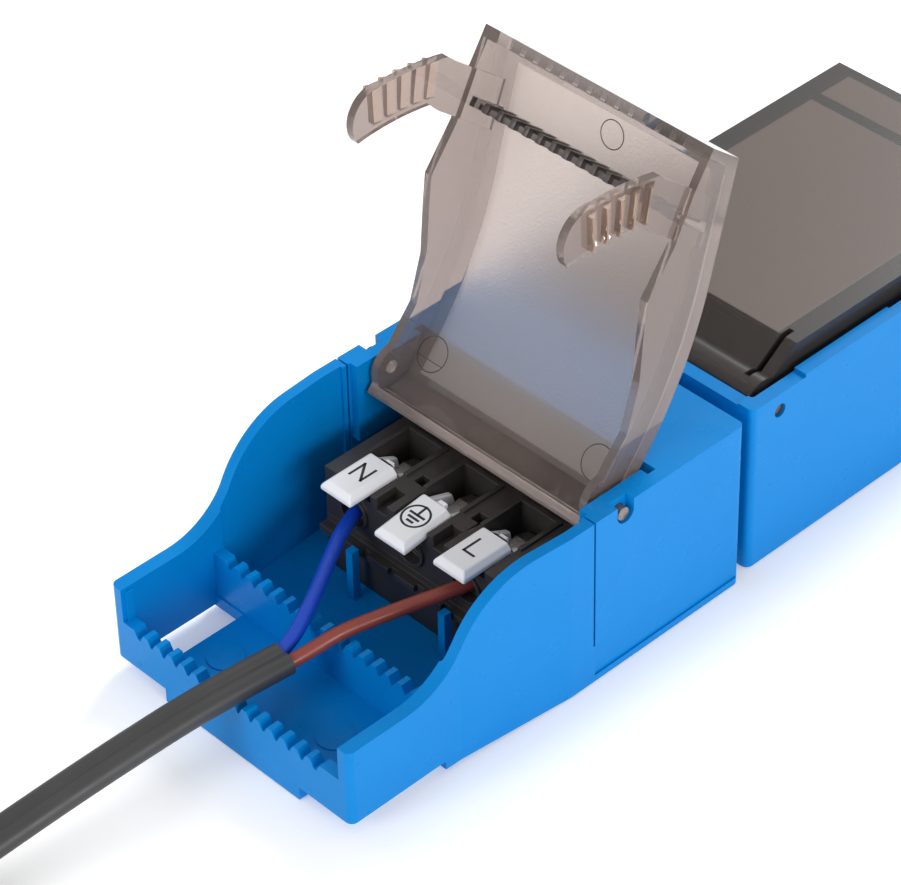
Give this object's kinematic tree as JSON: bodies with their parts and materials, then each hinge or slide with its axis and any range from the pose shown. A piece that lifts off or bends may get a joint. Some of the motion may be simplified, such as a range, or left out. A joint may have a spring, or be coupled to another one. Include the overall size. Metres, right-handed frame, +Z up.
{
  "type": "lever wire connector",
  "caption": "Plug-together lighting flex connector with blue housings and smoked hinged lids, lever terminals marked N, earth and L, and a flat flex in the open half.",
  "frame": {"origin": "on the surface it stands on, midway between the two cable entry faces and on the middle plane", "axes": "+Y from the open plug half to the shut socket half, +X to the right seen from the open cable entry, +Z up"},
  "size_m": [0.0699, 0.2333, 0.0696],
  "materials": {
    "housing": "glossy moulded plastic with a fine surface",
    "smoked_lid": "smoked translucent polycarbonate, textured on its large faces",
    "terminal_black": "satin moulded nylon",
    "lever_white": "white moulded plastic, printed in black",
    "spring_steel": "bright stainless strip",
    "contact_metal": "plain copper alloy",
    "sheath_black": "soft PVC, low sheen",
    "core_colours": "blue and brown PVC insulation",
    "core_blue": "blue PVC insulation",
    "core_brown": "brown PVC insulation",
    "copper": "bare stranded copper"
  },
  "bodies": {
    "plug_half": {"plug_tray": "housing", "plug_rear_cover": "housing", "plug_block_base": "terminal_black", "plug_block_top": "terminal_black", "plug_spring_n": "spring_steel", "plug_spring_e": "spring_steel", "plug_spring_l": "spring_steel", "plug_contact_n": "contact_metal", "plug_contact_e": "contact_metal", "plug_contact_l": "contact_metal", "flex_sheath": "sheath_black", "flex_coil": "sheath_black", "flex_tail_cores": "core_colours", "core_blue": "core_blue", "core_brown": "core_brown", "core_conductors": "copper"},
    "plug_lid": {"plug_lid": "smoked_lid"},
    "socket_half": {"socket_tray": "housing", "socket_block_base": "terminal_black", "socket_block_top": "terminal_black", "socket_spring_n": "spring_steel", "socket_spring_e": "spring_steel", "socket_spring_l": "spring_steel", "socket_contact_n": "contact_metal", "socket_contact_e": "contact_metal", "socket_contact_l": "contact_metal"},
    "socket_lid": {"socket_lid": "smoked_lid"},
    "plug_lever_n": {"plug_lever_n": "lever_white"},
    "socket_lever_n": {"socket_lever_n": "lever_white"},
    "plug_lever_e": {"plug_lever_e": "lever_white"},
    "socket_lever_e": {"socket_lever_e": "lever_white"},
    "plug_lever_l": {"plug_lever_l": "lever_white"},
    "socket_lever_l": {"socket_lever_l": "lever_white"}
  },
  "joints": [
    {"name": "plug_lid_close", "type": "hinge", "parent": "plug_half", "child": "plug_lid", "pos_m": [0, -0.0229, 0.0245], "axis": [1, 0, 0], "range_deg": [0, 127.5]},
    {"name": "unplug", "type": "slide", "parent": "plug_half", "child": "socket_half", "axis": [0, 1, 0], "range_m": [0, 0.014]},
    {"name": "socket_lid_open", "type": "hinge", "parent": "socket_half", "child": "socket_lid", "pos_m": [0, 0.0064, 0.0238], "axis": [1, 0, 0], "range_deg": [0, 70]},
    {"name": "plug_lever_n_lift", "type": "hinge", "parent": "plug_half", "child": "plug_lever_n", "pos_m": [-0.01035, -0.0297, 0.0146], "axis": [-1, 0, 0], "range_deg": [0, 62]},
    {"name": "socket_lever_n_lift", "type": "hinge", "parent": "socket_half", "child": "socket_lever_n", "pos_m": [-0.01035, 0.0297, 0.0146], "axis": [1, 0, 0], "range_deg": [0, 75]},
    {"name": "plug_lever_e_lift", "type": "hinge", "parent": "plug_half", "child": "plug_lever_e", "pos_m": [0, -0.0297, 0.0146], "axis": [-1, 0, 0], "range_deg": [0, 69]},
    {"name": "socket_lever_e_lift", "type": "hinge", "parent": "socket_half", "child": "socket_lever_e", "pos_m": [0, 0.0297, 0.0146], "axis": [1, 0, 0], "range_deg": [0, 75]},
    {"name": "plug_lever_l_lift", "type": "hinge", "parent": "plug_half", "child": "plug_lever_l", "pos_m": [0.01035, -0.0297, 0.0146], "axis": [-1, 0, 0], "range_deg": [0, 62]},
    {"name": "socket_lever_l_lift", "type": "hinge", "parent": "socket_half", "child": "socket_lever_l", "pos_m": [0.01035, 0.0297, 0.0146], "axis": [1, 0, 0], "range_deg": [0, 75]}
  ]
}
